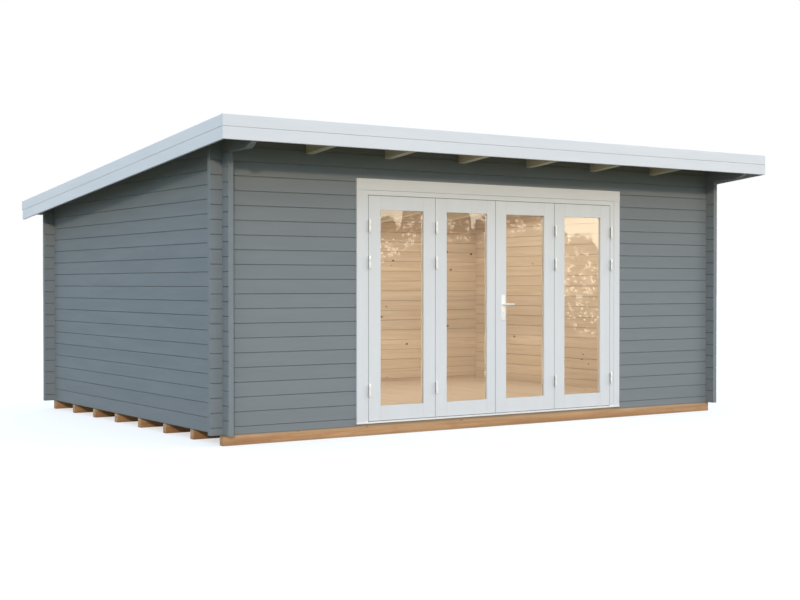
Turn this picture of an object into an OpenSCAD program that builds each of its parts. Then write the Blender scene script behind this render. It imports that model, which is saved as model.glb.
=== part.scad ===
// Garden cabin of interlocking logs: a lean-to roof high at the front, a four-leaf folding glazed
// door in the front wall, and a floor and walls carried on a row of foundation beams.
// X runs along the front, Y from front to back, Z up from the ground.

/* [Walls] */
// Width over the outer faces of the side walls
cabin_w = 5300; // [4600:10:6000]
// Depth over the outer faces of the front and back walls
cabin_d = 3800; // [3200:10:4400]
// Thickness of a wall log
log_t = 44; // [40:1:58]
// Height of one log course
log_h = 114; // [108:1:120]
// How far the log ends run on past the wall they cross
log_end = 103; // [60:1:140]
// Chamfer along each log edge, which makes the groove between two courses
log_chamfer = 5; // [3:0.5:7]

/* [Foundation] */
// Number of foundation beams, from front to back
beam_count = 8; // [5:1:10]
// Thickness of a foundation beam
beam_t = 60; // [45:1:80]
// Height of a foundation beam
beam_h = 85; // [60:1:120]
// How far the beam ends stay inside the side walls' outer faces
beam_inset = 6; // [0:1:20]
// Thickness of the floor boards
floor_t = 26; // [19:1:28]

/* [Roof] */
// Slope of the roof, in degrees
roof_pitch = 5.15; // [4:0.05:6]
// Height of the rafters' underside above the wall foot, at the front wall's outer face
rafter_seat = 2196; // [2170:1:2260]
// Distance from one rafter's middle to the next
rafter_step = 751; // [640:1:820]
// Width of a rafter
rafter_w = 70; // [45:1:90]
// Depth of a rafter, square to the slope
rafter_h = 120; // [100:1:140]
// Overhang of the roof in front of the front wall
eave_front = 497; // [400:1:600]
// Overhang of the roof behind the back wall
eave_rear = 225; // [160:1:300]
// Overhang of the roof past each side wall
eave_side = 240; // [160:1:300]
// Thickness of the roof boards
deck_t = 19; // [16:1:25]
// Thickness of the roofing felt
felt_t = 4; // [2:1:6]

/* [Fascia] */
// Thickness of a fascia board
fascia_t = 18; // [14:1:25]
// Height of the lower fascia board
fascia_low = 95; // [80:1:110]
// Height of the upper fascia board
fascia_up = 90; // [70:1:110]
// Drop of the fascia's lower edge below the roof boards' underside
fascia_drop = 147; // [136:1:164]
// Chamfer along each outer edge of a fascia board
fascia_ease = 3; // [1:0.5:5]
// Width and depth of the batten behind each side fascia
batten = 45; // [30:1:60]
// How far the roof's rear edge runs past the rear fascia board
drip = 20; // [10:1:50]

/* [Door] */
// Width of one door leaf, joint to joint
leaf_w = 672; // [560:1:700]
// How far the closing leaf laps over its neighbour
leaf_lap = 28; // [20:1:36]
// Thickness of a door leaf
leaf_t = 42; // [38:1:46]
// Width of a leaf's stiles
stile_w = 120; // [90:1:130]
// Height of a leaf's top rail
rail_top = 116; // [90:1:130]
// Height of a leaf's bottom rail
rail_low = 121; // [90:1:140]
// Height of the leaves' top edge above the wall foot
leaf_top = 1888; // [1800:1:1920]
// Running gap round a leaf
leaf_gap = 4; // [2:0.5:5]
// Thickness of a glass pane
glass_t = 14; // [8:1:16]
// How far the glass lies behind a leaf's face
glass_set = 12; // [8:1:14]
// Width of the frame that shows beside the leaves
frame_show = 45; // [30:1:55]
// Height of the frame that shows over the leaves
frame_over = 39; // [30:1:50]
// Width of the casing boards beside the door
casing_w = 68; // [60:1:100]
// Height of the casing board over the door
casing_head = 94; // [70:1:110]
// Thickness of the casing boards
casing_t = 18; // [14:1:26]
// Height of the threshold's top above the wall foot
threshold_top = 29; // [27:1:34]

/* [Fittings] */
// Diameter of a hinge barrel
hinge_d = 16; // [12:1:18]
// Distance of the hinge pins in front of the leaves' face
hinge_off = 23; // [12:1:26]
// Length of a hinge barrel
hinge_len = 110; // [90:1:120]
// Heights of the three hinges on each joint, above the wall foot
hinge_heights = [286, 1338, 1637];
// Height of the lever above the wall foot
lever_z = 983; // [900:1:1050]
// Length of the lever
lever_len = 120; // [100:1:130]
// Width of the handle's back plate
plate_w = 40; // [32:1:46]
// Height of the handle's back plate
plate_h = 220; // [180:1:240]

/* [Hidden] */
$fn = 48;
e = 1;                                          // overshoot of a cutting tool
wall_x = -cabin_w / 2;                          // left wall's outer face
wall_y = (eave_front - cabin_d - eave_rear) / 2; // front wall's outer face
wall_z = beam_h;                                // foot of the walls
back_y = wall_y + cabin_d;                      // back wall's outer face
slope = tan(roof_pitch);
rafter_count = 6;
rafter_v = rafter_h / cos(roof_pitch);          // rafter depth, measured upright
deck_v = deck_t / cos(roof_pitch);
felt_v = felt_t / cos(roof_pitch);
fascia_front_y = wall_y - eave_front;           // outer face of the front fascia
roof_back_y = back_y + eave_rear;               // rear edge of the roof boards
fascia_back_y = roof_back_y - drip;             // outer face of the rear fascia
fascia_x = wall_x - eave_side;                  // outer face of the left fascia
groove = log_chamfer;                           // depth and half height of the groove
quarter = log_h / 4;                            // a crossing log keeps its middle two quarters
course_max = ceil((rafter_seat + rafter_v + eave_front * slope) / log_h);

frame_proud = 10;                               // how far frame and leaves stand out of the wall
leaf_face_y = wall_y - frame_proud;             // outer face of leaves and frame
leaf_bottom = threshold_top + 5;
door_w = 4 * leaf_w - leaf_lap;                 // clear width between the frame's sides
frame_under = 21;                               // frame width hidden by the casing
frame_side = frame_show + frame_under;
frame_top = frame_over + frame_under;
frame_depth = log_t + frame_proud;              // ends flush with the logs' inner face
stop_w = 14;                                    // how far the stop reaches behind a leaf
open_w = door_w + leaf_gap + 2 * frame_side;    // width of the opening in the front wall
open_x = -open_w / 2;
open_top = leaf_top + leaf_gap + frame_top;
head_joint = (floor(open_top / log_h - 0.5) + 0.5) * log_h; // course joint under the head logs
gable_joint = floor(rafter_seat / log_h) * log_h;           // underside of the gable log
glass_seat = 8;                                 // how deep a pane sits in its leaf
arris = 2;                                      // easing of the joinery's outer edges
rebate_t = leaf_t / 2;                          // thickness of the lap between middle leaves
casing_out = open_w / 2 - frame_under + casing_w; // outer edge of the casing, from the middle
casing_foot = leaf_top + leaf_gap + frame_over; // lower edge of the head casing, above the wall foot
nose_z = 15;                                    // underside of the threshold's nose
nose_y = casing_t + 2;                          // how far the nose stands out of the wall
nose_run = 60;                                  // length of the cut under a gable log's front end
nose_rise = 38;                                 // rise of that cut
handle_in = 81;                                 // from the closing leaf's edge to the lever's middle
handle_x = -door_w / 2 + 2 * leaf_w - leaf_lap + handle_in;
plate_t = 8;
plate_drop = 138;                               // from the lever down to the plate's lower edge
plate_r = 9;                                    // radius of the plate's corners
rose_d = 27;
rose_t = 4;
lever_d = 18;
lever_tip = 12;                                 // the lever tapers to this at its end
lever_reach = 46;                               // lever axis from the leaf's face
lock_drop = 75;                                 // from the lever down to the lock cylinder
lock_d = 17;
lock_w = 10;                                    // width of the lock's lower part
lock_h = 33;                                    // height of the whole lock
lock_t = 3;                                     // how far the lock stands out of the plate
knuckle_play = 2;                               // gap between a hinge's two knuckles
knuckle_ease = 2;                               // chamfer at a hinge's ends
flag_end = 5;                                   // from a hinge's end to its flag

joint_xs = [
    -door_w / 2,
    -door_w / 2 + leaf_w,
    -door_w / 2 + 2 * leaf_w - leaf_lap,
    door_w / 2 - leaf_w,
    door_w / 2
];
hinge_xs = [joint_xs[0], joint_xs[1], joint_xs[3], joint_xs[4]];

wall_paint = "#717f88";
door_white = "#e4e8ea";
raw_pine = "#b58a62";
felt_grey = "#3a3d40";
glass_tint = "#a9b8bc";
metal_white = "#f2f3f1";

// Height of the roof boards' underside at a distance y from the front
function roof_z(y) = wall_z + rafter_seat + rafter_v - (y - wall_y) * slope;

// Extrudes an outline drawn in (Y, Z) along X, from x over a length
module along_x(x, length) {
    translate([x, 0, 0])
        rotate([90, 0, 90])
            linear_extrude(height = length)
                children();
}

// Extrudes an outline drawn in (X, Z) along Y, from y over a length
module along_y(y, length) {
    translate([0, y + length, 0])
        rotate([90, 0, 0])
            linear_extrude(height = length)
                children();
}

// A board between y1 and y2 that follows the roof, from above its underside up by rise
module sloped_outline(y1, y2, above, rise) {
    polygon([
        [y1, roof_z(y1) + above],
        [y2, roof_z(y2) + above],
        [y2, roof_z(y2) + above + rise],
        [y1, roof_z(y1) + above + rise]
    ]);
}

// ---- log walls ----

// Section of a stack of logs from foot to top above the wall foot: grooves at the course
// joints of the given phase, and chamfers at the foot and top where a course ends there
module log_section(foot, top, phase) {
    joints = [for (k = [0 : course_max]) (k + phase) * log_h];
    inner = [for (z = joints) if (z > foot + groove && z < top - groove) z];
    up = [for (z = inner) each [[0, z - groove], [groove, z], [0, z + groove]]];
    down = [for (p = [len(up) - 1 : -1 : 0]) [log_t - up[p][0], up[p][1]]];
    foot_cut = len([for (z = joints) if (z == foot && foot > 0) z]) > 0 ? groove : 0;
    top_cut = len([for (z = joints) if (z == top) z]) > 0 ? groove : 0;
    foot_pts = [[log_t - foot_cut, foot], [foot_cut, foot]];
    foot_side = foot_cut > 0 ? [[0, foot + foot_cut]] : [];
    top_side = top_cut > 0 ? [[0, top - top_cut]] : [];
    foot_back = foot_cut > 0 ? [[log_t, foot + foot_cut]] : [];
    top_back = top_cut > 0 ? [[log_t, top - top_cut]] : [];
    top_pts = [[top_cut, top], [log_t - top_cut, top]];
    polygon(concat(foot_pts, foot_side, up, top_side, top_pts, top_back, down, foot_back));
}

// Logs that run along X, with their outer face at y
module logs_along_x(x, length, y, foot, top) {
    along_x(x, length)
        translate([y, wall_z])
            log_section(foot, top, 0.5);
}

// Logs that run along Y, with their left face at x
module logs_along_y(y, length, x, foot, top) {
    along_y(y, length)
        translate([x, wall_z])
            log_section(foot, top, 0);
}

// What the other wall's logs take out of a crossing, two quarters of each course
module crossing_notches(x, y, phase) {
    for (k = [0 : course_max])
        translate([x, y, wall_z + (k + phase) * log_h])
            cube([log_t, log_t, 2 * quarter]);
}

// Both crossings of the front or back wall with the side walls
module side_wall_notches(y) {
    for (x = [wall_x, -wall_x - log_t])
        crossing_notches(x, y, 0.25);
}

// Both crossings of a side wall with the front and back walls
module end_wall_notches(x) {
    for (y = [wall_y, back_y - log_t])
        crossing_notches(x, y, -0.25);
}

// Everything above the roof boards' underside
module above_roof() {
    top = roof_z(fascia_front_y) + log_h;
    along_x(wall_x - eave_side, cabin_w + 2 * eave_side)
        polygon([
            [fascia_front_y - e, roof_z(fascia_front_y - e)],
            [roof_back_y + e, roof_z(roof_back_y + e)],
            [roof_back_y + e, top],
            [fascia_front_y - e, top]
        ]);
}

module front_wall_side(x, length) {
    color(wall_paint)
        difference() {
            logs_along_x(x, length, wall_y, 0, head_joint);
            side_wall_notches(wall_y);
        }
}

module front_wall_left() {
    front_wall_side(wall_x - log_end, open_x - wall_x + log_end);
}

module front_wall_right() {
    front_wall_side(open_x + open_w, -wall_x + log_end - open_x - open_w);
}

module front_wall_head() {
    color(wall_paint)
        difference() {
            logs_along_x(wall_x - log_end, cabin_w + 2 * log_end, wall_y, head_joint,
                         rafter_seat + rafter_v + e);
            side_wall_notches(wall_y);
            above_roof();
            rafters();
            translate([open_x, wall_y - e, wall_z])
                cube([open_w, log_t + 2 * e, open_top]);
        }
}

module back_wall() {
    y = back_y - log_t;
    color(wall_paint)
        difference() {
            logs_along_x(wall_x - log_end, cabin_w + 2 * log_end, y, 0,
                         roof_z(y) - wall_z + e);
            side_wall_notches(y);
            above_roof();
            rafters();
        }
}

module side_wall(x) {
    color(wall_paint)
        difference() {
            logs_along_y(wall_y - log_end, cabin_d + 2 * log_end, x, 0, gable_joint);
            end_wall_notches(x);
            above_roof();
        }
}

module left_wall() {
    side_wall(wall_x);
}

module right_wall() {
    side_wall(-wall_x - log_t);
}

// The top log of a side wall: tapered to the roof, and run forward under the eaves as a bracket
module gable_log(x) {
    y1 = fascia_front_y + fascia_t;
    y2 = wall_y + (rafter_seat + rafter_v - gable_joint) / slope;
    color(wall_paint)
        difference() {
            logs_along_y(y1, y2 - y1, x, gable_joint, roof_z(y1) - wall_z + e);
            end_wall_notches(x);
            above_roof();
            along_x(x - e, log_t + 2 * e)
                polygon([
                    [y1 - e, wall_z + gable_joint - e],
                    [y1 + nose_run, wall_z + gable_joint - e],
                    [y1 + nose_run, wall_z + gable_joint],
                    [y1, wall_z + gable_joint + nose_rise],
                    [y1 - e, wall_z + gable_joint + nose_rise]
                ]);
        }
}

module left_gable_log() {
    gable_log(wall_x);
}

module right_gable_log() {
    gable_log(-wall_x - log_t);
}

// ---- foundation and floor ----

module foundation_beams() {
    step = (cabin_d - beam_t) / (beam_count - 1);
    color(raw_pine)
        for (k = [0 : beam_count - 1])
            translate([wall_x + beam_inset, wall_y + k * step, 0])
                cube([cabin_w - 2 * beam_inset, beam_t, beam_h]);
}

module floor() {
    color(raw_pine)
        translate([wall_x + log_t, wall_y + log_t, wall_z])
            cube([cabin_w - 2 * log_t, cabin_d - 2 * log_t, floor_t]);
}

// ---- roof ----

// Left face of a rafter: they stand at even centres either side of the cabin's middle
function rafter_x(k) = (k - (rafter_count + 1) / 2) * rafter_step - rafter_w / 2;

module rafter(k) {
    y1 = fascia_front_y + fascia_t;
    y2 = fascia_back_y - fascia_t;
    along_x(rafter_x(k), rafter_w)
        sloped_outline(y1, y2, -rafter_v, rafter_v);
}

module rafters() {
    for (k = [1 : rafter_count])
        rafter(k);
}

module roof_deck() {
    color(raw_pine)
        along_x(fascia_x + fascia_t, cabin_w + 2 * (eave_side - fascia_t))
            sloped_outline(fascia_front_y + fascia_t, roof_back_y, 0, deck_v);
}

module roof_felt() {
    color(felt_grey)
        along_x(fascia_x + fascia_t, cabin_w + 2 * (eave_side - fascia_t))
            sloped_outline(fascia_front_y + fascia_t, roof_back_y, deck_v, felt_v);
}

module side_batten(x) {
    color(raw_pine)
        along_x(x, batten)
            sloped_outline(fascia_front_y + fascia_t, fascia_back_y - fascia_t, -batten, batten);
}

module batten_left() {
    side_batten(fascia_x + fascia_t);
}

module batten_right() {
    side_batten(-fascia_x - fascia_t - batten);
}

// A front fascia board with eased outer edges, from above its base line up by rise
module front_board(above, rise) {
    z = roof_z(fascia_front_y) - fascia_drop + above;
    color(door_white)
        along_x(fascia_x, cabin_w + 2 * eave_side)
            translate([fascia_front_y, z])
                polygon([
                    [0, fascia_ease],
                    [fascia_ease, 0],
                    [fascia_t, 0],
                    [fascia_t, rise],
                    [fascia_ease, rise],
                    [0, rise - fascia_ease]
                ]);
}

module fascia_front_lower() {
    front_board(0, fascia_low);
}

module fascia_front_upper() {
    front_board(fascia_low, fascia_up);
}

// Cuts a chamfer down the slope along a line at x, at a height above the roof boards' underside
module slope_chamfer(x, above) {
    translate([x, fascia_front_y, roof_z(fascia_front_y) + above])
        rotate([-90 - roof_pitch, 0, 0])
            linear_extrude(height = (roof_back_y - fascia_front_y) / cos(roof_pitch) + fascia_t)
                rotate(45)
                    square(fascia_ease * sqrt(2), center = true);
}

// A left fascia board, its upper one running on to the roof's rear edge
module left_board(y2, above, rise) {
    color(door_white)
        difference() {
            along_x(fascia_x, fascia_t)
                sloped_outline(fascia_front_y + fascia_t, y2, above - fascia_drop, rise);
            slope_chamfer(fascia_x, above - fascia_drop);
            slope_chamfer(fascia_x, above - fascia_drop + rise);
        }
}

module fascia_left_lower() {
    left_board(fascia_back_y, 0, fascia_low);
}

module fascia_left_upper() {
    left_board(roof_back_y, fascia_low, fascia_up);
}

module fascia_right_lower() {
    mirror([1, 0, 0])
        fascia_left_lower();
}

module fascia_right_upper() {
    mirror([1, 0, 0])
        fascia_left_upper();
}

// One board across the rafters' rear ends, close under the roof boards
module fascia_rear() {
    y = fascia_back_y - fascia_t;
    color(door_white)
        along_x(fascia_x + fascia_t, cabin_w + 2 * (eave_side - fascia_t))
            sloped_outline(y, fascia_back_y, -fascia_low, fascia_low);
}

// ---- door frame and casing ----

// Plan outline of a frame side: the leaf's rebate, and the stop behind it
module frame_outline() {
    polygon([
        [0, 0],
        [frame_side, 0],
        [frame_side, leaf_t + leaf_gap],
        [frame_side + stop_w, leaf_t + leaf_gap],
        [frame_side + stop_w, frame_depth],
        [0, frame_depth]
    ]);
}

module frame_post() {
    translate([open_x, leaf_face_y, wall_z + threshold_top])
        linear_extrude(height = open_top - threshold_top)
            frame_outline();
}

module door_frame_left() {
    color(door_white)
        difference() {
            frame_post();
            head_bar();
        }
}

module door_frame_right() {
    mirror([1, 0, 0])
        door_frame_left();
}

module head_bar() {
    z = wall_z + open_top;
    along_x(open_x + frame_side, door_w + leaf_gap)
        polygon([
            [leaf_face_y, z],
            [leaf_face_y, z - frame_top],
            [leaf_face_y + leaf_t + leaf_gap, z - frame_top],
            [leaf_face_y + leaf_t + leaf_gap, z - frame_top - stop_w],
            [leaf_face_y + frame_depth, z - frame_top - stop_w],
            [leaf_face_y + frame_depth, z]
        ]);
}

module door_frame_head() {
    color(door_white)
        head_bar();
}

// The threshold lies in the opening, and its nose runs on under both side casings
module door_threshold() {
    color(door_white) {
        translate([open_x, wall_y, wall_z])
            cube([open_w, log_t, threshold_top]);
        along_x(-casing_out, 2 * casing_out)
            translate([wall_y, wall_z])
                polygon([
                    [-nose_y, nose_z],
                    [0, nose_z],
                    [0, threshold_top],
                    [arris - nose_y, threshold_top],
                    [-nose_y, threshold_top - arris]
                ]);
    }
}

// Plan outline of a board with its two outer edges eased
module eased_outline(w, t) {
    polygon([
        [0, t],
        [0, arris],
        [arris, 0],
        [w - arris, 0],
        [w, arris],
        [w, t]
    ]);
}

module door_casing_left() {
    color(door_white)
        translate([-casing_out, wall_y - casing_t, wall_z + threshold_top])
            difference() {
                linear_extrude(height = casing_foot - threshold_top)
                    eased_outline(casing_w, casing_t);
                translate([casing_w - frame_under, casing_t - frame_proud, -e])
                    cube([frame_under + e, frame_proud + e, open_top]);
            }
}

module door_casing_right() {
    mirror([1, 0, 0])
        door_casing_left();
}

module door_casing_head() {
    color(door_white)
        difference() {
            along_x(-casing_out, 2 * casing_out)
                translate([wall_y - casing_t, wall_z + casing_foot])
                    polygon([
                        [0, arris],
                        [arris, 0],
                        [casing_t, 0],
                        [casing_t, casing_head],
                        [arris, casing_head],
                        [0, casing_head - arris]
                    ]);
            translate([open_x, leaf_face_y, wall_z])
                cube([open_w, frame_depth, open_top]);
        }
}

// ---- door leaves ----

// The leaves' outer outline, from joint to joint less the running gap
module leaf_blank(x, w) {
    translate([x, leaf_face_y, wall_z + leaf_bottom])
        cube([w, leaf_t, leaf_top - leaf_bottom]);
}

// A window cut through a leaf, with eased edges on both faces
module leaf_window(x) {
    w = leaf_w - 2 * stile_w;
    z1 = wall_z + leaf_bottom + rail_low;
    z2 = wall_z + leaf_top - rail_top;
    y1 = leaf_face_y;
    y2 = leaf_face_y + leaf_t;
    intersection() {
        translate([0, 0, z1 - arris])
            linear_extrude(height = z2 - z1 + 2 * arris)
                polygon([
                    [x - arris, y1 - e],
                    [x + w + arris, y1 - e],
                    [x + w + arris, y1],
                    [x + w, y1 + arris],
                    [x + w, y2 - arris],
                    [x + w + arris, y2],
                    [x + w + arris, y2 + e],
                    [x - arris, y2 + e],
                    [x - arris, y2],
                    [x, y2 - arris],
                    [x, y1 + arris],
                    [x - arris, y1]
                ]);
        along_x(x - arris, w + 2 * arris)
            polygon([
                [y1 - e, z1 - arris],
                [y1, z1 - arris],
                [y1 + arris, z1],
                [y2 - arris, z1],
                [y2, z1 - arris],
                [y2 + e, z1 - arris],
                [y2 + e, z2 + arris],
                [y2, z2 + arris],
                [y2 - arris, z2],
                [y1 + arris, z2],
                [y1, z2 + arris],
                [y1 - e, z2 + arris]
            ]);
    }
}

module pane(x) {
    w = leaf_w - 2 * stile_w + 2 * glass_seat;
    h = leaf_top - leaf_bottom - rail_low - rail_top + 2 * glass_seat;
    translate([x - glass_seat, leaf_face_y + glass_set, wall_z + leaf_bottom + rail_low - glass_seat])
        cube([w, glass_t, h]);
}

// Left edge of each leaf's window
function window_x(k) = (k < 3 ? -door_w / 2 + (k - 1) * leaf_w : door_w / 2 - (5 - k) * leaf_w) + stile_w;

module plain_leaf(k) {
    x = window_x(k) - stile_w;
    color(door_white)
        difference() {
            leaf_blank(x + leaf_gap / 2, leaf_w - leaf_gap);
            leaf_window(window_x(k));
            pane(window_x(k));
        }
}

module door_leaf_1() {
    plain_leaf(1);
}

// The leaf that closes first: its edge is rebated to take the next leaf's lap
module door_leaf_2() {
    difference() {
        plain_leaf(2);
        color(door_white)
            translate([joint_xs[2] - leaf_gap / 2, leaf_face_y - e, wall_z])
                cube([leaf_lap + leaf_gap + e, rebate_t + leaf_gap / 2 + e, leaf_top + e]);
    }
}

// The leaf that opens first, with its lap over the leaf beside it
module door_leaf_3() {
    difference() {
        plain_leaf(3);
        color(door_white)
            translate([joint_xs[2] - leaf_gap, leaf_face_y + rebate_t - leaf_gap / 2, wall_z])
                cube([leaf_lap + 2 * leaf_gap, leaf_t, leaf_top + e]);
    }
}

module door_leaf_4() {
    plain_leaf(4);
}

module glass(k) {
    color(glass_tint, 0.4)
        pane(window_x(k));
}

// ---- fittings ----

// Half section of a hinge's two knuckles, from its lower to its upper end
module hinge_profile() {
    r = hinge_d / 2;
    half = hinge_len / 2;
    play = knuckle_play / 2;
    polygon([
        [0, -half],
        [r - knuckle_ease, -half],
        [r, knuckle_ease - half],
        [r, -play],
        [r - knuckle_ease, -play],
        [r - knuckle_ease, play],
        [r, play],
        [r, half - knuckle_ease],
        [r - knuckle_ease, half],
        [0, half]
    ]);
}

// A lift-off hinge: two knuckles on a pin in front of the joint, and a flag from each that
// runs back into the joint
module hinge(x, z) {
    flag = hinge_len / 2 - knuckle_play / 2 - flag_end;
    translate([x, leaf_face_y - hinge_off, wall_z + z]) {
        rotate_extrude()
            hinge_profile();
        for (foot = [flag_end - hinge_len / 2, knuckle_play / 2])
            translate([-leaf_gap / 2, 0, foot])
                cube([leaf_gap, hinge_off + leaf_t / 2, flag]);
    }
}

module door_hinges() {
    color(metal_white)
        for (x = hinge_xs, z = hinge_heights)
            hinge(x, z);
}

// Back plate with round corners, from the leaf's face outwards
module back_plate() {
    translate([plate_r - plate_w / 2, -plate_t, -plate_drop])
        cube([plate_w - 2 * plate_r, plate_t, plate_h]);
    translate([-plate_w / 2, -plate_t, plate_r - plate_drop])
        cube([plate_w, plate_t, plate_h - 2 * plate_r]);
    for (x = [-1, 1], z = [plate_r, plate_h - plate_r])
        translate([x * (plate_w / 2 - plate_r), 0, z - plate_drop])
            rotate([90, 0, 0])
                cylinder(r = plate_r, h = plate_t);
}

// Lock cylinder under the lever: its round barrel, and its narrow lower part with a round end
module lock_cylinder() {
    out = plate_t + lock_t;
    foot = lock_h - lock_d / 2 - lock_w / 2;
    translate([0, 0, -lock_drop]) {
        rotate([90, 0, 0])
            cylinder(d = lock_d, h = out);
        translate([-lock_w / 2, -out, -foot])
            cube([lock_w, out, foot]);
        translate([0, 0, -foot])
            rotate([90, 0, 0])
                cylinder(d = lock_w, h = out);
    }
}

// Plate, rose, lever and lock cylinder, seen from one face of the leaf
module lever_set() {
    back_plate();
    rotate([90, 0, 0])
        cylinder(d = rose_d, h = plate_t + rose_t);
    rotate([90, 0, 0])
        cylinder(d = lever_d, h = lever_reach);
    translate([0, -lever_reach, 0]) {
        sphere(d = lever_d);
        rotate([0, 90, 0])
            cylinder(d1 = lever_d, d2 = lever_tip, h = lever_len - lever_tip / 2);
        translate([lever_len - lever_tip / 2, 0, 0])
            sphere(d = lever_tip);
    }
    lock_cylinder();
}

// The same set outside and inside
module door_handle() {
    color(metal_white)
        translate([handle_x, leaf_face_y, wall_z + lever_z]) {
            lever_set();
            translate([0, leaf_t, 0])
                mirror([0, 1, 0])
                    lever_set();
        }
}

foundation_beams();
floor();
front_wall_left();
front_wall_right();
front_wall_head();
back_wall();
left_wall();
right_wall();
left_gable_log();
right_gable_log();
door_frame_left();
door_frame_right();
door_frame_head();
door_threshold();
door_casing_left();
door_casing_right();
door_casing_head();
door_leaf_1();
door_leaf_2();
door_leaf_3();
door_leaf_4();
for (k = [1 : 4])
    glass(k);
door_hinges();
door_handle();
for (k = [1 : rafter_count])
    color(raw_pine) rafter(k);
roof_deck();
roof_felt();
batten_left();
batten_right();
fascia_front_lower();
fascia_front_upper();
fascia_left_lower();
fascia_left_upper();
fascia_right_lower();
fascia_right_upper();
fascia_rear();
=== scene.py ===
"""Dresses the garden log cabin: paint, bare pine, glass, laid boards, roofing felt and door fittings.

Sizes and places are in metres.
"""

import logging
import math
from dataclasses import dataclass, field
from enum import Enum
from functools import partial, reduce
from typing import Callable, Sequence, Union

import bpy
from mathutils import Euler, Matrix, Vector


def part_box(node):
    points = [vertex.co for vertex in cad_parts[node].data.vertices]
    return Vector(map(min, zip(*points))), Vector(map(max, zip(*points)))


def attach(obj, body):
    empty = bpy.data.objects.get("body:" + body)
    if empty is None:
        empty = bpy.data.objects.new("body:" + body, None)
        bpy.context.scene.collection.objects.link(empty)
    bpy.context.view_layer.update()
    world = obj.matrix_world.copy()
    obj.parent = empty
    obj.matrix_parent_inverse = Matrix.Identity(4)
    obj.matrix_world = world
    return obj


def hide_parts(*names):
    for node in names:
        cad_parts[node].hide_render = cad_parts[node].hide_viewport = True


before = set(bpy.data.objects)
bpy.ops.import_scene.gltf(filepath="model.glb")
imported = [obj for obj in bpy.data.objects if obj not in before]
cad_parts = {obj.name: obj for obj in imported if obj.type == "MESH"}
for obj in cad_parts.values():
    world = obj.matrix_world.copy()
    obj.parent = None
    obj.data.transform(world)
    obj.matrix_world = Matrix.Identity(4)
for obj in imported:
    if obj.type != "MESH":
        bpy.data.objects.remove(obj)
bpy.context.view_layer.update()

LOG = logging.getLogger("garden_log_cabin")

# What a test on an edge or a face allows for rounding.
HAIR = 0.0001

Piece = bpy.types.Object
Socket = bpy.types.NodeSocket
Value = Union[float, Sequence[float], Socket]
Colour = tuple[float, float, float]
Scale = Sequence[float]
Inputs = dict[Union[str, int], Value]
Move = Union[Matrix, Sequence[float]]
Test = Callable[[Vector, Vector], bool]


class Run(Enum):
    """The way a board's grain runs."""

    ALONG_X = 0
    ALONG_Y = 1
    UPRIGHT = 2


class Part(Enum):
    """What an edit picks out of a mesh."""

    EDGES = (False, True, False)
    FACES = (False, False, True)


# ---- the bench: small tools that every sub-assembly uses ----


def put_down_all() -> None:
    """Leaves nothing selected, in object mode."""
    if bpy.context.mode != "OBJECT":
        bpy.ops.object.mode_set(mode="OBJECT")
    bpy.ops.object.select_all(action="DESELECT")


def pick_up(piece: Piece) -> None:
    """Selects one piece alone and makes it active.

    Args:
        piece: The piece to work on.
    """
    put_down_all()
    piece.select_set(True)
    bpy.context.view_layer.objects.active = piece


def settle(piece: Piece, name: str) -> Piece:
    """Names a new piece and moves its place and turn into its mesh.

    Args:
        piece: The piece that was just added.
        name: Its name.

    Returns:
        The same piece.
    """
    pick_up(piece)
    piece.name = name
    piece.data.name = name
    bpy.ops.object.transform_apply(location=True, rotation=True, scale=True)
    return piece


def block(name: str, low: Sequence[float], high: Sequence[float]) -> Piece:
    """Adds a squared blank between two corners, to be shaped further.

    Args:
        name: Name of the piece.
        low: Its lowest corner, in metres.
        high: Its highest corner, in metres.

    Returns:
        The blank.
    """
    low, high = Vector(low), Vector(high)
    put_down_all()
    bpy.ops.mesh.primitive_cube_add(size=1, location=(low + high) / 2, scale=high - low)
    return settle(bpy.context.object, name)


def turned(
    name: str, foot: Sequence[float], axis: Vector, radius: float, length: float, sides: int = 20
) -> Piece:
    """Adds a round blank that stands on foot and runs along axis, to be shaped further.

    Args:
        name: Name of the piece.
        foot: Middle of its first end.
        axis: Direction it runs in.
        radius: Its radius.
        length: Its length.
        sides: Number of sides round it.

    Returns:
        The blank.
    """
    put_down_all()
    middle = Vector(foot) + axis * length / 2
    turn = axis.to_track_quat("Z", "Y").to_euler()
    size = {"vertices": sides, "radius": radius, "depth": length}
    bpy.ops.mesh.primitive_cylinder_add(**size, location=middle, rotation=turn)
    return settle(bpy.context.object, name)


def open_up(piece: Piece, part: Part, test: Test) -> None:
    """Opens a piece for editing with the parts that pass a test selected.

    Args:
        piece: The piece to edit.
        part: Whether edges or faces are picked.
        test: Takes a part's middle and its direction or normal, and says whether it is picked.
    """
    pick_up(piece)
    mesh = piece.data
    bpy.context.tool_settings.mesh_select_mode = part.value
    bpy.ops.object.mode_set(mode="EDIT")
    bpy.ops.mesh.select_all(action="DESELECT")
    bpy.ops.object.mode_set(mode="OBJECT")
    if part is Part.FACES:
        for face in mesh.polygons:
            face.select = test(face.center, face.normal)
    else:
        for edge in mesh.edges:
            a, b = (mesh.vertices[i].co for i in edge.vertices)
            edge.select = test((a + b) / 2, (b - a).normalized())
    bpy.ops.object.mode_set(mode="EDIT")


def ease(piece: Piece, width: float, test: Test, segments: int = 1) -> Piece:
    """Bevels the edges that pass a test.

    Args:
        piece: The piece to ease.
        width: Width of the bevel.
        test: Takes an edge's middle and direction, and says whether it is bevelled.
        segments: Number of steps round the bevel.

    Returns:
        The same piece.
    """
    open_up(piece, Part.EDGES, test)
    bpy.ops.mesh.bevel(offset=width, segments=segments, affect="EDGES")
    put_down_all()
    return piece


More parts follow.
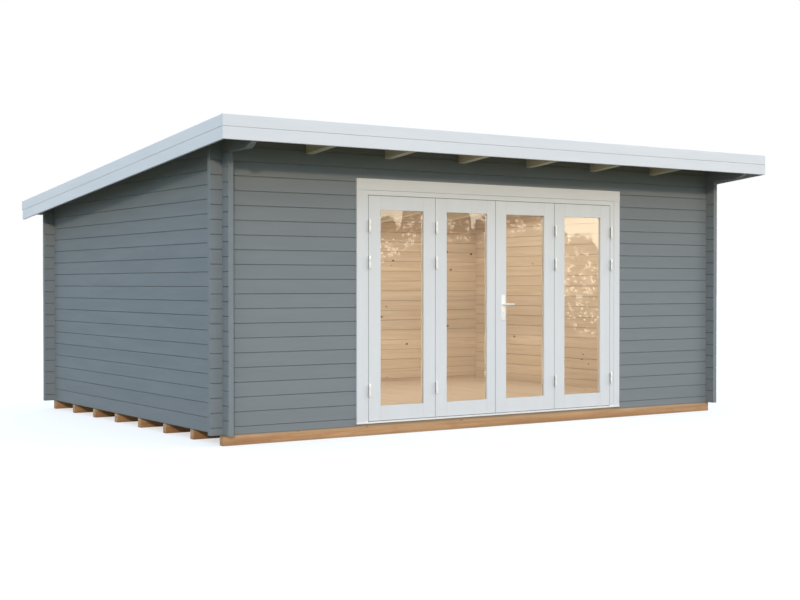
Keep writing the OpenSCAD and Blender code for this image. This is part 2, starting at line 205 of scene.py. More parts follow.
def copy_at(piece: Piece, move: Move, name: str) -> Piece:
    """Makes a copy of a piece, with its own mesh, at another place.

    Args:
        piece: The piece to copy.
        move: A shift, or a matrix, from the first piece's place.
        name: Name of the copy.

    Returns:
        The copy.
    """
    twin = piece.copy()
    twin.data = piece.data.copy()
    twin.data.transform(move if isinstance(move, Matrix) else Matrix.Translation(move))
    twin.name = name
    bpy.context.collection.objects.link(twin)
    return twin


def join(name: str, pieces: Sequence[Piece]) -> Piece:
    """Joins pieces into one mesh.

    Args:
        name: Name of the joined piece.
        pieces: The pieces, which become one.

    Returns:
        The joined piece.
    """
    put_down_all()
    for piece in pieces:
        piece.select_set(True)
    bpy.context.view_layer.objects.active = pieces[0]
    bpy.ops.object.join()
    pieces[0].name = name
    pieces[0].data.name = name
    put_down_all()
    return pieces[0]


def row(name: str, first: Piece, moves: Sequence[Move]) -> Piece:
    """Joins a piece and its copies at the given shifts."""
    return join(name, [first, *(copy_at(first, move, first.name) for move in moves)])


def round_off(piece: Piece) -> Piece:
    """Shades a piece smooth, with its sharp corners kept.

    Args:
        piece: The piece to shade.

    Returns:
        The same piece.
    """
    pick_up(piece)
    bpy.ops.object.shade_smooth_by_angle(angle=math.radians(35))
    put_down_all()
    return piece


def hide(piece: Piece, *rays: str) -> None:
    """Keeps a piece from kinds of ray, such as camera or shadow."""
    for ray in rays:
        setattr(piece, f"visible_{ray}", False)


def spaced(low: float, high: float, margin: float, count: int) -> list[float]:
    """Places spaced evenly between two ends, with a margin left at each."""
    return [low + margin + k * (high - low - 2 * margin) / (count - 1) for k in range(count)]


def roof_fall() -> float:
    """The roof's fall from front to back, as a tangent."""
    low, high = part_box("batten_left")
    return (high.z - low.z - (high.x - low.x)) / (high.y - low.y)


# ---- the finishes ----


def scales(run: Run, along: float, across: float) -> tuple[float, ...]:
    """Pattern scales that are low along the grain and high across it."""
    return tuple(along if k == run.value else across for k in range(3))


def share_of(colour: Colour, share: float) -> Colour:
    """A colour at a share of its strength."""
    return tuple(share * c for c in colour)


class Web:
    """A node tree, with short ways to add nodes and join them."""

    def __init__(self, name: str, world: bpy.types.World | None = None) -> None:
        """Starts an empty tree.

        Args:
            name: Name of the material.
            world: The world whose tree it is instead.
        """
        self.material = world or bpy.data.materials.new(name)
        self.material.use_nodes = True
        self.tree = self.material.node_tree
        self.tree.nodes.clear()
        self.place = self.add("ShaderNodeTexCoord").outputs["Object"]

    def add(self, kind: str, inputs: Inputs | None = None, **settings: object) -> bpy.types.Node:
        """Adds a node.

        Args:
            kind: The node's type.
            inputs: A value or a socket for each input, by name or number.
            settings: The node's own properties.

        Returns:
            The node.
        """
        node = self.tree.nodes.new(kind)
        for key, value in settings.items():
            setattr(node, key, value)
        for key, value in (inputs or {}).items():
            if isinstance(value, Socket):
                self.tree.links.new(value, node.inputs[key])
            else:
                node.inputs[key].default_value = value
        return node

    def sum(self, operation: str, *values: Value) -> Socket:
        """The result of a Math node, from its operation and its inputs in order."""
        return self.add("ShaderNodeMath", dict(enumerate(values)), operation=operation).outputs[0]

    def less(self, first: Value, second: Value) -> Socket:
        """The first value less the second."""
        return self.sum("SUBTRACT", first, second)

    def times(self, first: Value, *others: Value) -> Socket:
        """The product of values."""
        return reduce(partial(self.sum, "MULTIPLY"), others, first)

    def pattern(self, kind: str, scale: Scale, shift: Value, **inputs: Value) -> bpy.types.Node:
        """Lays a pattern over the piece's own coordinates.

        Args:
            kind: The kind of texture.
            scale: Repeats a metre along X, Y and Z.
            shift: What is added to the scaled coordinates.
            inputs: The texture's other inputs.

        Returns:
            The texture's node.
        """
        place = self.add("ShaderNodeMapping", {"Vector": self.place, "Location": shift, "Scale": scale})
        return self.add(f"ShaderNodeTex{kind}", {"Vector": place.outputs[0], "Scale": 1.0, **inputs})

    def noise(
        self, scale: Scale, detail: float, rough: float, distort: float = 0.0, shift: Value = (0.0, 0.0, 0.0)
    ) -> Socket:
        """Noise from 0 to 1: its octaves, how strong the finer ones are, and how far it is pulled about."""
        inputs = {"Detail": detail, "Roughness": rough, "Distortion": distort}
        return self.pattern("Noise", scale, shift, **inputs).outputs[0]

    def vary(self, number: Socket, slide: float, lift: float) -> tuple[Socket, Socket]:
        """What differs from board to board.

        Args:
            number: The board's number.
            slide: How far a pattern is moved at most, in its own units.
            lift: The share of that move that is made upright.

        Returns:
            Sockets of a tone from 0 to 1 and of the pattern's shift.
        """
        tone = self.add("ShaderNodeTexWhiteNoise", {"W": number}, noise_dimensions="1D").outputs[0]
        move = self.times(tone, slide)
        shift = self.add("ShaderNodeCombineXYZ", {0: move, 1: move, 2: self.times(move, lift)})
        return tone, shift.outputs[0]

    def spread(
        self, value: Value, low: float, high: float, to_low: float = 0.0, to_high: float = 1.0
    ) -> Socket:
        """Maps the values from low to high onto another range, held at its ends."""
        values = {0: value, 1: low, 2: high, 3: to_low, 4: to_high}
        return self.add("ShaderNodeMapRange", values, interpolation_type="SMOOTHSTEP").outputs[0]

    def blend(self, share: Value, first: Value, second: Value) -> Socket:
        """Blends a share of the second colour into the first."""
        pair = [(*c, 1.0) if isinstance(c, tuple) else c for c in (first, second)]
        return self.add("ShaderNodeMix", {0: share, 6: pair[0], 7: pair[1]}, data_type="RGBA").outputs[2]

    def tint(self, first: Value, second: Value, value: Value, *span: float) -> Socket:
        """Blends a second colour in as a value runs through a span, which is given as to spread."""
        return self.blend(self.spread(value, *span), first, second)

    def curve(self, value: Socket, points: Sequence[tuple[float, float]]) -> Socket:
        """Reads a drawn line.

        Args:
            value: Where along the line, from 0 to 1.
            points: The line's points, from 0 to 1 both ways.

        Returns:
            The line's height there.
        """
        node = self.add("ShaderNodeFloatCurve", {1: value})
        line = node.mapping.curves[0]
        line.points[0].location, line.points[1].location = points[0], points[-1]
        for point in points[1:-1]:
            line.points.new(*point)
        node.mapping.update()
        return node.outputs[0]

    def axis(self, number: int) -> Socket:
        """One coordinate of the piece: 0, 1 or 2 for X, Y or Z."""
        return self.add("ShaderNodeSeparateXYZ", {0: self.place}).outputs[number]

    def between(self, value: Socket, low: float, high: float) -> Socket:
        """1 where a value lies between low and high, and 0 elsewhere."""
        return self.times(self.sum("GREATER_THAN", value, low), self.sum("LESS_THAN", value, high))

    def bump(self, height: Socket, depth: float, normal: Socket | None = None) -> Socket:
        """Raises the surface by a pattern.

        Args:
            height: The pattern, from 0 to 1.
            depth: Height of the pattern.
            normal: A normal to add to.

        Returns:
            The normal's socket.
        """
        under = {} if normal is None else {"Normal": normal}
        values = {"Height": height, "Distance": depth, "Strength": 1.0, **under}
        return self.add("ShaderNodeBump", values).outputs[0]

    def close(self, shader: bpy.types.Node) -> bpy.types.Material:
        """Closes the tree with a shader, and returns the material."""
        self.add("ShaderNodeOutputMaterial", {0: shader.outputs[0]})
        return self.material

    def finish(self, **inputs: Value) -> bpy.types.Material:
        """Closes the tree with a Principled shader, from its inputs with an underline for each space."""
        values = {key.replace("_", " "): value for key, value in inputs.items()}
        return self.close(self.add("ShaderNodeBsdfPrincipled", values))


@dataclass(frozen=True)
class PineTones:
    """Colours of bare pine, from its pale early wood to its knots."""

    pale: Colour = (0.81, 0.678, 0.495)
    deep: Colour = (0.72, 0.572, 0.385)
    knot: Colour = (0.17, 0.085, 0.04)
    knot_size: float = 0.135

    def lay(self, web: Web, run: Run, tone: Socket, shift: Socket) -> tuple[Socket, Socket, Socket]:
        """Lays grain and knots into a tree.

        Args:
            web: The tree.
            run: The way the grain runs.
            tone: A number from 0 to 1 that differs from board to board.
            shift: A shift that differs from board to board.

        Returns:
            Sockets of the colour, the fine grain and the knots.
        """
        broad = web.noise(scales(run, 0.9, 16.0), 3.0, 0.6, distort=0.6, shift=shift)
        fine = web.noise(scales(run, 5.0, 240.0), 3.0, 0.6, shift=shift)
        streak = web.noise(scales(run, 1.1, 46.0), 2.0, 0.5, shift=shift)
        dark = share_of(self.deep, 0.78)
        wood = web.tint(self.pale, self.deep, broad, 0.32, 0.68)
        wood = web.tint(wood, dark, fine, 0.45, 0.8, 0.0, 0.4)
        wood = web.tint(wood, dark, streak, 0.53, 0.68, 0.0, 0.42)
        wood = web.tint(wood, share_of(self.deep, 0.92), tone, 0.0, 1.0, 0.0, 0.35)
        cell = web.pattern("Voronoi", scales(run, 6.2, 8.8), shift)
        kind = web.add("ShaderNodeSeparateColor", {0: cell.outputs["Color"]}).outputs[0]
        size = web.spread(kind, 0.05, 0.85, 0.0, self.knot_size)
        knot = web.spread(web.less(size, cell.outputs["Distance"]), 0.0, 0.05)
        return web.blend(knot, wood, self.knot), fine, knot


@dataclass(frozen=True)
class PaintedLogs:
    """Grey paint on the logs outside and on their ends, and bare pine on the faces inside the room."""

    run: Run
    phase: float
    paint: Colour = (0.240, 0.268, 0.295)
    worn: Colour = (0.230, 0.258, 0.284)
    knot: Colour = (0.20, 0.21, 0.21)
    grime: Colour = (0.10, 0.115, 0.125)
    # Painted shade: colour of the dark band along the wall's lowest 7 mm.
    foot_shade: Colour = (0.13, 0.12, 0.10)
    splash: Colour = (0.23, 0.22, 0.19)
    seam: Colour = (0.20, 0.12, 0.06)
    pitch: float = 0.114
    log: float = 0.044
    sheltered: float = 1.98
    splashed: float = 0.30

    def make(self) -> bpy.types.Material:
        """Builds the finish.

        Returns:
            The material.
        """
        web = Web(f"painted_logs_{self.run.name.lower()}")
        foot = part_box("left_wall")[0].z
        course = web.sum("DIVIDE", web.less(web.axis(2), foot - self.phase * self.pitch), self.pitch)
        tone, shift = web.vary(web.sum("FLOOR", course), 9.0, 0.0)
        coarse = web.noise(scales(self.run, 1.3, 12.0), 4.0, 0.6, shift=shift)
        bare, fine, knot = PineTones().lay(web, self.run, tone, shift)
        colour = web.tint(self.paint, self.worn, coarse, 0.3, 0.7)
        colour = web.tint(colour, share_of(self.paint, 1.06), tone, 0.0, 1.0, 0.0, 0.25)
        colour = web.tint(colour, share_of(self.paint, 0.8), fine, 0.5, 0.85, 0.0, 0.22)
        colour = web.blend(web.times(knot, 0.10), colour, self.knot)
        part = web.sum("FRACT", course)
        near = web.times(web.sum("MINIMUM", part, web.less(1.0, part)), self.pitch)
        along = self.run.value
        first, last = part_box("back_wall" if self.run is Run.ALONG_X else "left_wall")
        side = web.between(web.axis(along), first[along] + 0.001, last[along] - 0.001)
        slope = web.times(web.less(web.axis(1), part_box("front_wall_head")[0].y), roof_fall())
        eave = foot + self.sheltered
        shelter = web.spread(web.sum("ADD", web.axis(2), slope), eave, eave + 0.12, 1.0, 0.15)
        dirt = web.times(shelter, side, web.spread(near, 0.002, 0.007, 0.34, 0.0))
        colour = web.blend(dirt, colour, self.grime)
        # Painted shade: a dark band along the foot of the wall, just above the beam.
        colour = web.tint(colour, self.foot_shade, web.axis(2), foot, foot + 0.007, 0.4, 0.0)
        low = web.spread(web.axis(2), foot, foot + self.splashed, 0.22, 0.0)
        colour = web.blend(web.times(low, web.noise((6.0, 6.0, 14.0), 4.0, 0.6)), colour, self.splash)
        line = web.times(web.spread(tone, 0.0, 1.0, 0.34, 0.90), web.spread(near, 0.0011, 0.0030, 1.0, 0.0))
        bare = web.blend(line, bare, self.seam)
        room_low, room_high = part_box("floor")
        half = self.log / 2
        room = (web.between(web.axis(k), room_low[k] - half, room_high[k] + half) for k in (0, 1))
        grain = web.bump(fine, 0.0005, web.bump(knot, 0.0006, web.bump(coarse, 0.0012)))
        rough = web.spread(coarse, 0.3, 0.7, 0.66, 0.80)
        skin = web.blend(web.times(*room), colour, bare)
        return web.finish(Base_Color=skin, Roughness=rough, Specular_IOR_Level=0.18, Normal=grain)


@dataclass(frozen=True)
class BarePine:
    """Planed or sawn pine without a finish, in boards of a given width or in single beams."""

    name: str
    run: Run
    across: int = 0
    pitch: float = 1.0
    start: float = 0.0
    tones: PineTones = field(default_factory=PineTones)
    sawn: float = 0.0004
    mottle: Colour | None = None

    def make(self) -> bpy.types.Material:
        """Builds the finish.

        Returns:
            The material.
        """
        web = Web(self.name)
        place = web.sum("DIVIDE", web.less(web.axis(self.across), self.start), self.pitch)
        tone, shift = web.vary(web.sum("FLOOR", place), 7.0, 1.0)
        colour, fine, knot = self.tones.lay(web, self.run, tone, shift)
        if self.mottle is not None:
            colour = self.weather_and_shade(web, colour, self.mottle)
        rough = web.spread(fine, 0.3, 0.7, 0.55, 0.75)
        grain = web.bump(fine, self.sawn, web.bump(knot, 0.0005))
        return web.finish(Base_Color=colour, Roughness=rough, Normal=grain)

    def weather_and_shade(self, web: Web, colour: Socket, mottle: Colour) -> Socket:
        """Weathers the foundation beams and paints shade on them: stained patches, a pale upper edge, a
        painted shadow line along their top and painted shade darkening their foot.

        Args:
            web: The tree.
            colour: The beams' colour so far.
            mottle: Colour of the patches.

        Returns:
            The weathered colour's socket.
        """
        end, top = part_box("foundation_beams")[0].x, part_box("foundation_beams")[1].z
        door_low, door_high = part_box("door_threshold")
        patch = web.noise(scales(self.run, 2.6, 9.0), 4.0, 0.65, distort=0.4, shift=(4.0, 1.0, 2.0))
        colour = web.tint(colour, mottle, patch, 0.48, 0.70, 0.0, 0.55)
        colour = web.tint(colour, (0.40, 0.25, 0.13), web.axis(0), end + 0.7, end + 1.8, 0.0, 0.16)
        colour = web.tint(colour, (0.62, 0.47, 0.32), web.axis(2), top - 0.044, top - 0.010, 0.0, 0.38)
        # Painted shadow: a dark line along the beams' top where the wall's foot shades them, half as strong
        # under the doors.
        under = web.spread(web.between(web.axis(0), door_low.x, door_high.x), 0.0, 1.0, 1.0, 0.5)
        line = web.times(under, web.spread(web.axis(2), top - 0.013, top - 0.001, 0.0, 0.85))
        colour = web.blend(line, colour, (0.15, 0.14, 0.12))
        # Painted shade: the beams darken towards their foot.
        return web.tint(colour, (0.22, 0.165, 0.11), web.axis(2), 0.0, 0.040, 0.42, 0.0)


@dataclass(frozen=True)
class WhitePaint:
    """Brushed white paint over planed wood.

    On a door leaf, rails gives the window's left, right, lower and upper edge. On the boards round the
    roof, joint is the height of the line between them, carried along the slope to the room's middle.
    Below the given height the wood is left bare, in a dark brown that is also painted shade under the
    threshold's nose.
    """

    name: str
    run: Run
    paint: Colour = (0.784, 0.807, 0.860)
    shade: Colour = (0.764, 0.787, 0.840)
    rails: tuple[float, float, float, float] | None = None
    joint: float | None = None
    bare_shaded_below: float | None = None
    seam: Colour = (0.36, 0.36, 0.34)
    # Painted shade: colour of the window's reveal behind the glass.
    reveal_shade: Colour = (0.56, 0.49, 0.42)
    gap: Colour = (0.25, 0.25, 0.25)
    dust: Colour = (0.50, 0.46, 0.39)
    # Bare wood, darkened also as painted shade under the threshold's nose.
    wood: Colour = (0.37, 0.265, 0.175)

    def make(self) -> bpy.types.Material:
        """Builds the finish.

        Returns:
            The material.
        """
        web = Web(self.name)
        brush = web.noise(scales(self.run, 3.0, 190.0), 3.0, 0.6)
        soft = web.noise(scales(self.run, 1.5, 10.0), 3.0, 0.6)
        seam: Value = 0.0
        reveal_shade: Value = 0.0
        if self.rails is not None:
            left, right, lower, upper = self.rails
            middle = web.between(web.axis(2), lower, upper)
            rail = web.times(web.between(web.axis(0), left, right), web.less(1.0, middle))
            brush = web.blend(rail, brush, web.noise(scales(Run.ALONG_X, 3.0, 190.0), 3.0, 0.6))
            edge = web.sum("ABSOLUTE", web.less(web.axis(0), (left + right) / 2))
            edge = web.sum("ABSOLUTE", web.less(edge, (right - left) / 2))
            seam = web.times(web.spread(edge, 0.0003, 0.0012, 0.45, 0.0), web.less(1.0, middle))
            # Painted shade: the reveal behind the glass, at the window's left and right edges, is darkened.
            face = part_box("door_leaf_1")[0].y
            deep = web.spread(web.axis(1), face + 0.016, face + 0.018)
            reveal_shade = web.times(deep, middle, web.spread(edge, 0.001, 0.002, 0.75, 0.0))
        colour = web.tint(self.paint, self.shade, soft, 0.3, 0.7)
        colour = web.tint(colour, share_of(self.paint, 0.90), brush, 0.5, 0.9, 0.0, 0.25)
        colour = web.blend(seam, colour, self.seam)
        colour = web.blend(reveal_shade, colour, self.reveal_shade)
        if self.joint is not None:
            level = web.sum("ADD", web.axis(2), web.times(web.axis(1), roof_fall()))
            near = web.sum("ABSOLUTE", web.less(level, self.joint))
            colour = web.tint(colour, self.gap, near, 0.001, 0.003, 0.44, 0.0)
        low = web.spread(web.axis(2), 0.09, 0.32, 0.16, 0.0)
        colour = web.blend(web.times(low, web.noise((9.0, 9.0, 9.0), 4.0, 0.6)), colour, self.dust)
        # Painted shade: below the nose the bare wood is dark, as in the nose's shadow.
        if self.bare_shaded_below is not None:
            edge = self.bare_shaded_below
            colour = web.tint(colour, self.wood, web.axis(2), edge - 0.001, edge - 0.0005, 1.0, 0.0)
        rough = web.spread(soft, 0.3, 0.7, 0.40, 0.52)
        grain = web.bump(brush, 0.0003, web.bump(soft, 0.0008))
        return web.finish(Base_Color=colour, Roughness=rough, Normal=grain)


@dataclass(frozen=True)
class ClearGlass:
    """Clear sealed panes, very slightly wavy."""

    tint: Colour = (0.97, 0.985, 0.98)

    def make(self) -> bpy.types.Material:
        """Builds the finish.

        Returns:
            The material.
        """
        web = Web("clear_pane")
        wave = web.noise((1.6, 1.6, 1.1), 1.0, 0.4)
        film = web.noise((7.0, 7.0, 5.0), 4.0, 0.6)
        return web.finish(
            Base_Color=(*self.tint, 1.0),
            Roughness=web.spread(film, 0.45, 0.8, 0.0, 0.02),
            IOR=1.45,
            Transmission_Weight=1.0,
            Normal=web.bump(wave, 0.0003),
        )


@dataclass(frozen=True)
class MineralFelt:
    """Roofing felt with a face of grey mineral granules."""

    pale: Colour = (0.125, 0.130, 0.135)
    dark: Colour = (0.045, 0.048, 0.052)
    dust: Colour = (0.105, 0.105, 0.10)

    def make(self) -> bpy.types.Material:
        """Builds the finish.

        Returns:
            The material.
        """
        web = Web("mineral_felt")
        grit = web.noise((520.0, 520.0, 520.0), 2.0, 0.7)
        patch = web.noise((1.1, 2.2, 1.1), 4.0, 0.6)
        colour = web.tint(self.dark, self.pale, grit, 0.38, 0.62)
        colour = web.tint(colour, self.dust, patch, 0.4, 0.75, 0.0, 0.35)
        rough = web.spread(grit, 0.3, 0.7, 0.80, 0.95)
        grain = web.bump(grit, 0.0011, web.bump(patch, 0.006))
        return web.finish(Base_Color=colour, Roughness=rough, Normal=grain)


@dataclass(frozen=True)
class Coated:
    """Metal with a coat on it, or bare metal where metal is 1."""

    name: str
    colour: Colour
    rough: float = 0.30
    metal: float = 0.0

    def make(self) -> bpy.types.Material:
        """Builds the finish.

        Returns:
            The material.
        """
        web = Web(self.name)
        skin = web.noise((420.0, 420.0, 420.0), 2.0, 0.5)
        rub = web.noise((38.0, 38.0, 22.0), 4.0, 0.65)
        colour = web.tint(self.colour, share_of(self.colour, 0.78), rub, 0.5, 0.8, 0.0, 0.25)
        rough = web.spread(rub, 0.3, 0.75, self.rough, self.rough + 0.16)
        grain = web.bump(skin, 0.00008)
        return web.finish(Base_Color=colour, Roughness=rough, Metallic=self.metal, Normal=grain)


def dress(piece: Piece, material: bpy.types.Material) -> None:
    """Gives every material slot of a piece one finish.

    Args:
        piece: The piece or CAD node.
        material: Its finish.
    """
    if not piece.material_slots:
        piece.data.materials.append(material)
    for place in piece.material_slots:
        place.material = material


def put_on(piece: Piece, material: bpy.types.Material, slot: str, *nodes: str) -> Piece:
    """Dresses a new piece, fixes it to the cabin and says what it stands for.

    Args:
        piece: The new piece.
        material: Its finish.
        slot: The record's material slot that it belongs to; not used.
        nodes: CAD nodes that it stands for.

    Returns:
        The same piece.
    """
    dress(piece, material)
    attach(piece, "root")
    if nodes:
        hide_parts(*nodes)
    faces = len(piece.data.polygons)
    LOG.info("%s: %d faces, for %s", piece.name, faces, ", ".join(nodes) or "detail")
    return piece


# ---- the sub-assemblies ----


@dataclass
class LogWalls:
    """The stacked log walls: grey outside and on the ends, bare inside."""

    along_x: tuple[str, ...] = ("front_wall_left", "front_wall_right", "front_wall_head", "back_wall")
    along_y: tuple[str, ...] = ("left_wall", "right_wall", "left_gable_log", "right_gable_log")

    def dress(self) -> None:
        """Paints the walls. Courses of the front and back walls lie half a log off the side walls'."""
        front = PaintedLogs(Run.ALONG_X, 0.5).make()
        side = PaintedLogs(Run.ALONG_Y, 0.0).make()
        for name in self.along_x:
            dress(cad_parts[name], front)
        for name in self.along_y:
            dress(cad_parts[name], side)
        LOG.info("log walls: %d nodes painted", len(self.along_x) + len(self.along_y))


@dataclass
class Ground:
    """The foundation beams, and the floor laid on them in boards."""

    boards: int = 46
    gap: float = 0.0004
    arris: float = 0.0014
    beam_tones: PineTones = PineTones(
        pale=(0.66, 0.38, 0.19), deep=(0.47, 0.235, 0.10), knot=(0.16, 0.08, 0.035)
    )
    stain: Colour = (0.40, 0.17, 0.065)

    def build(self) -> None:
        """Lays the floor boards from front to back, with eased upper edges, and dresses the beams."""
        low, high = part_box("floor")
        width = (high.x - low.x) / self.boards
        near, far = (low.x + self.gap, low.y, low.z), (low.x + width - self.gap, high.y, high.z)
        first = block("floor_board", near, far)
        ease(first, self.arris, lambda at, way: abs(way.y) > 0.9 and at.z > high.z - HAIR)
        floor = row("floor_boards", first, [(k * width, 0, 0) for k in range(1, self.boards)])
        pine = BarePine("floor_pine", Run.ALONG_Y, across=0, pitch=width, start=low.x).make()
        put_on(floor, pine, "plain_pine", "floor")
        beams = BarePine(
            "beam_pine",
            Run.ALONG_X,
            across=1,
            pitch=0.3,
            start=low.y,
            tones=self.beam_tones,
            sawn=0.0008,
            mottle=self.stain,
        )
        dress(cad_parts["foundation_beams"], beams.make())


@dataclass
class Roof:
    """Rafters, boards, battens, felt and the white boards round the edge."""

    board: float = 0.094
    groove: float = 0.003
    joint: float = 0.0003
    inset: float = 0.002
    strips: int = 5
    lap: float = 0.10
    lift: float = 0.9
    nail_step: float = 0.12
    nail_edge: float = 0.03
    nail_radius: float = 0.005
    nail_height: float = 0.0012
    board_tones: PineTones = PineTones(pale=(0.70, 0.525, 0.355), deep=(0.61, 0.43, 0.265))
    rafter_tones: PineTones = PineTones(pale=(0.80, 0.78, 0.64), deep=(0.70, 0.63, 0.48))
    rafter_step: float = 0.751
    rafter_start: float = -3.0
    paint: Colour = (0.753, 0.783, 0.843)
    shade: Colour = (0.733, 0.763, 0.823)

    def build(self) -> None:
        """Builds the whole roof."""
        self.lay_boards()
        self.lay_felt()
        self.dress_timber()

    def plane(self, node: str) -> tuple[Matrix, float, float, float]:
        """How a sloping CAD sheet lies.

        Args:
            node: The sheet.

        Returns:
            What carries a level sheet to its place, and its width, its length and its thickness.
        """
        low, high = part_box(node)
        fall = roof_fall() * (high.y - low.y)
        angle = math.atan(roof_fall())
        corner = Vector((low.x, low.y + self.inset, low.z + fall - self.inset * roof_fall()))
        place = Matrix.Translation(corner) @ Matrix.Rotation(-angle, 4, "X")
        length = math.hypot(high.y - low.y, fall) - 2 * self.inset
        return place, high.x - low.x, length, (high.z - low.z - fall) * math.cos(angle)

    def lay_boards(self) -> None:
        """Lays the roof boards side by side down the slope, with a groove between them underneath."""
        place, width, length, depth = self.plane("roof_deck")
        count = round(length / self.board)
        pitch = length / count
        first = block("roof_board", (0, 0, 0), (width, pitch - self.joint, depth))
        ease(first, self.groove, lambda at, way: abs(way.x) > 0.9 and at.z < depth / 2)
        deck = row("roof_boards", first, [(0, k * pitch, 0) for k in range(1, count)])
        deck.data.transform(place)
        level = pitch * math.cos(math.atan(roof_fall()))
        start = place.translation.y
        pine = BarePine("roof_pine", Run.ALONG_X, across=1, pitch=level, start=start, tones=self.board_tones)
        put_on(deck, pine.make(), "plain_pine", "roof_deck")

    def lay_felt(self) -> None:
        """Lays the felt in lapped strips, each over the one below it, and nails them down."""
        place, width, length, sheet = self.plane("roof_felt")
        step = (length - self.lap) / self.strips
        first = block("felt_strip", (0, 0, 0), (width, step + self.lap, sheet))
        open_up(first, Part.EDGES, lambda at, way: abs(way.y) > 0.9)
        bpy.ops.mesh.subdivide(number_cuts=3)
        put_down_all()
        for corner in first.data.vertices:
            over = max(0.0, 1 - (step + self.lap - corner.co.y) / self.lap)
            corner.co.z += sheet * self.lift * min(1.0, over)
        ease(first, 0.001, lambda at, way: abs(way.x) > 0.9 and at.y > step and at.z > sheet)
        strips = [first]
        strips += [copy_at(first, (0, k * step, 0), "felt_strip") for k in range(1, self.strips)]
        for corner in strips[-1].data.vertices:
            corner.co.z = min(corner.co.z, sheet)
        felt = join("felt_strips", strips)
        up = Vector((0, 0, 1))
        nail = turned("clout_nail", (0, 0, sheet), up, self.nail_radius, self.nail_height, sides=8)
        peak = sheet + self.nail_height - HAIR
        ease(nail, 0.0005, lambda at, way: at.z > peak)
        spots = []
        count = int(width / self.nail_step)
        for k in range(1, self.strips):
            y = k * step + self.lap - self.nail_edge
            spots += [((n + 0.5) * width / count, y, self.lift * sheet) for n in range(count)]
        count = int(length / self.nail_step)
        for x in (self.nail_edge, width - self.nail_edge):
            spots += [(x, (n + 0.5) * length / count, 0) for n in range(count)]
        nails = row("felt_nails", nail, spots[1:])
        nails.data.transform(place)
        felt.data.transform(place)
        put_on(felt, MineralFelt().make(), "roofing_felt", "roof_felt")
        put_on(nails, Coated("galvanised", (0.45, 0.46, 0.47), rough=0.4, metal=1.0).make(), "white_metal")

    def dress_timber(self) -> None:
        """Leaves the rafters and battens bare, and paints the boards round the edge."""
        rafter = BarePine(
            "rafter_pine",
            Run.ALONG_Y,
            across=0,
            pitch=self.rafter_step,
            start=self.rafter_start,
            tones=self.rafter_tones,
        ).make()
        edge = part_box("fascia_front_upper")[0]
        joint = edge.z + roof_fall() * edge.y
        paint = partial(WhitePaint, paint=self.paint, shade=self.shade)
        across = paint("white_fascia_across", Run.ALONG_X, joint=joint).make()
        along = paint("white_fascia_along", Run.ALONG_Y, joint=joint).make()
        rear = paint("white_fascia_rear", Run.ALONG_X).make()
        boards = {"fascia_front": across, "fascia_rear": rear, "fascia": along}
        kinds = {"rafter": rafter, "batten": rafter, **boards}
        for name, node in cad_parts.items():
            for start, finish in kinds.items():
                if name.startswith(start):
                    dress(node, finish)
                    break


